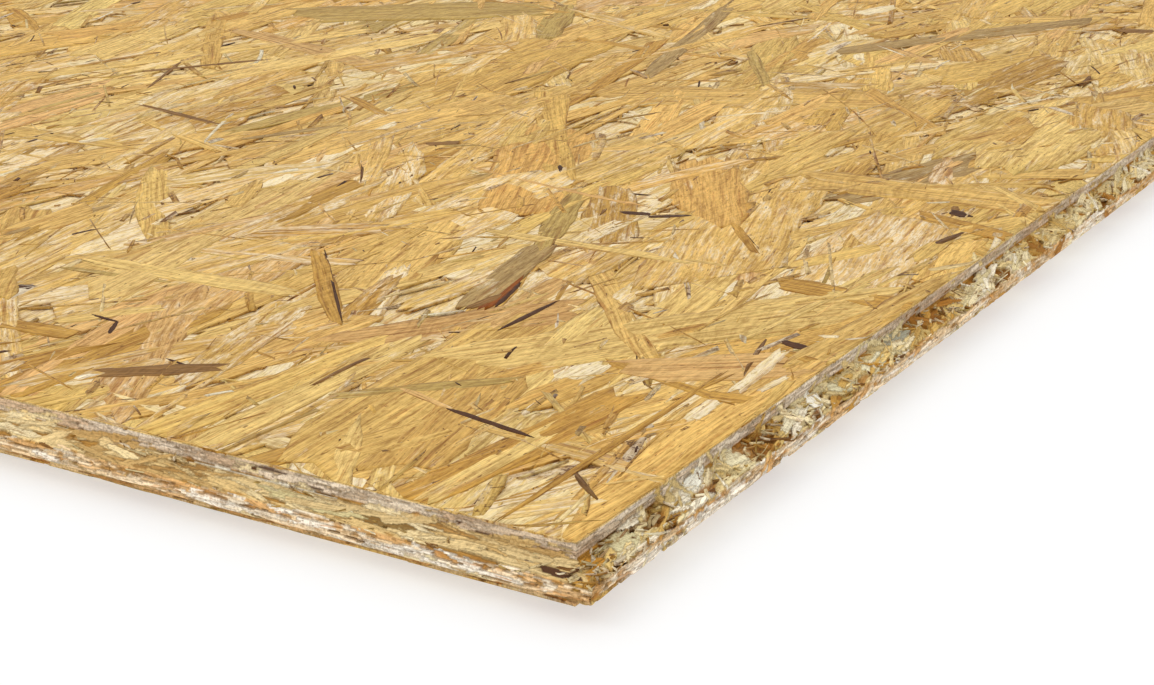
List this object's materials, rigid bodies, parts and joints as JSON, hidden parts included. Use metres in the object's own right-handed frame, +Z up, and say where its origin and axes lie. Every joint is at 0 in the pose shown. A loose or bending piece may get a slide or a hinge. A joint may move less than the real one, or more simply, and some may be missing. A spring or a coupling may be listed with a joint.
{
  "type": "tongue and groove osb panel",
  "caption": "Flat rectangular board of pressed wood strands, with a tongue along one long and one short edge and a matching groove along the edges opposite.",
  "frame": {"origin": "middle of the overall length and width, on the underside", "axes": "+X along the panel's length, towards the short edge with the groove; +Y across its width, towards the long edge with the groove; +Z up through its thickness, out of the upper face"},
  "size_m": [2.5, 0.675, 0.018],
  "materials": {
    "strand_board": "pressed wood strands, lightly waxed, with sawn and milled edges"
  },
  "bodies": {
    "root": {"panel": "strand_board"}
  },
  "joints": []
}
